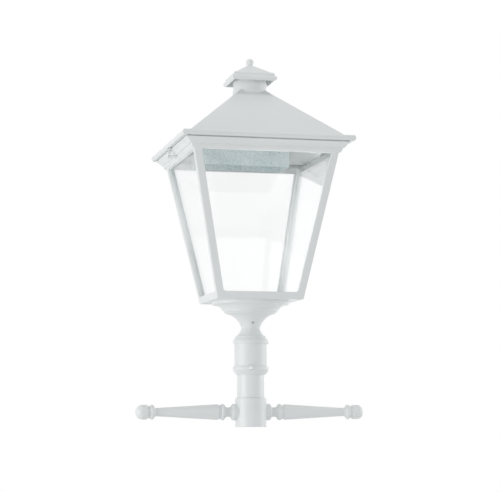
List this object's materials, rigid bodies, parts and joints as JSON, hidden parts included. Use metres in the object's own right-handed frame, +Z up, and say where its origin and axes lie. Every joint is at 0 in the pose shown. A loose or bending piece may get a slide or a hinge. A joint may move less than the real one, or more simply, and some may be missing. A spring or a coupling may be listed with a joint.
{
  "type": "post top lantern",
  "caption": "Square tapered post top lantern: glazed body, hinged pyramid canopy with vented cap and ball finial, on a tubular post fitting with turned ladder bars.",
  "frame": {"origin": "centre of the bottom face of the ladder bar collar, where the post goes in", "axes": "+Z up along the post; -Y is the front; the ladder bars lie along X; the canopy is hinged on the +X side and its catch is on the -X side"},
  "size_m": [0.504, 0.372, 0.8065],
  "materials": {
    "casting_paint": "white powder coat over cast aluminium",
    "steel_paint": "white paint over steel tube",
    "sheet_paint": "white coated sheet",
    "reflector_sheet": "hammered bare aluminium sheet",
    "clear_glass": "clear flat pane",
    "lamp_glass": "opal lamp envelope",
    "gasket_rubber": "pale grey sponge strip",
    "stainless_steel": "bright stainless",
    "painted_fitting": "white painted steel fitting",
    "dark_plastic": "black moulding",
    "lampholder_ceramic": "white glazed porcelain holder",
    "gear_casing": "grey gear casing"
  },
  "bodies": {
    "lantern": {"ladder_bar_collar": "casting_paint", "ladder_bar_left": "casting_paint", "ladder_bar_right": "casting_paint", "post_tube": "steel_paint", "post_adaptor": "casting_paint", "adaptor_screws": "stainless_steel", "base_dish": "casting_paint", "dish_grub_screws": "painted_fitting", "dish_bolts": "stainless_steel", "bottom_frame": "casting_paint", "frame_screws": "stainless_steel", "gland_plate": "sheet_paint", "gland_plate_screws": "stainless_steel", "cable_gland": "dark_plastic", "post_front_left": "casting_paint", "post_front_right": "casting_paint", "post_back_left": "casting_paint", "post_back_right": "casting_paint", "pane_front": "clear_glass", "pane_right": "clear_glass", "pane_back": "clear_glass", "pane_left": "clear_glass", "glazing_clips": "stainless_steel", "clip_screws": "stainless_steel", "glass_top_clips": "stainless_steel", "top_clip_screws": "stainless_steel", "cornice_frame": "casting_paint", "post_screws": "stainless_steel", "canopy_gasket": "gasket_rubber", "hinge_leaves_body": "painted_fitting", "hinge_leaf_screws": "stainless_steel", "hinge_pins": "stainless_steel", "catch_screw": "stainless_steel"},
    "canopy": {"roof_canopy": "casting_paint", "chimney_tube": "casting_paint", "cap_spider": "stainless_steel", "spider_screws": "stainless_steel", "tie_rod": "stainless_steel", "rod_nuts": "stainless_steel", "vent_cap": "casting_paint", "finial": "casting_paint", "hinge_leaves_canopy": "painted_fitting", "hinge_rim_screws": "stainless_steel", "catch_keeper": "painted_fitting", "keeper_screws": "stainless_steel", "gear_tray": "sheet_paint", "reflector_hood": "reflector_sheet", "tray_screws": "stainless_steel", "lampholder": "lampholder_ceramic", "lamp": "lamp_glass", "control_gear": "gear_casing", "gear_screws": "stainless_steel", "ignitor": "dark_plastic", "terminal_block": "dark_plastic"},
    "catch": {"catch_hook": "painted_fitting"}
  },
  "joints": [
    {"name": "canopy_hinge", "type": "hinge", "parent": "lantern", "child": "canopy", "pos_m": [0.18017, 0, 0.5937], "axis": [0, 1, 0], "range_deg": [0, 100]},
    {"name": "catch_pivot", "type": "hinge", "parent": "lantern", "child": "catch", "pos_m": [-0.18037, 0, 0.5825], "axis": [1, 0, 0], "range_deg": [0, 60]}
  ]
}
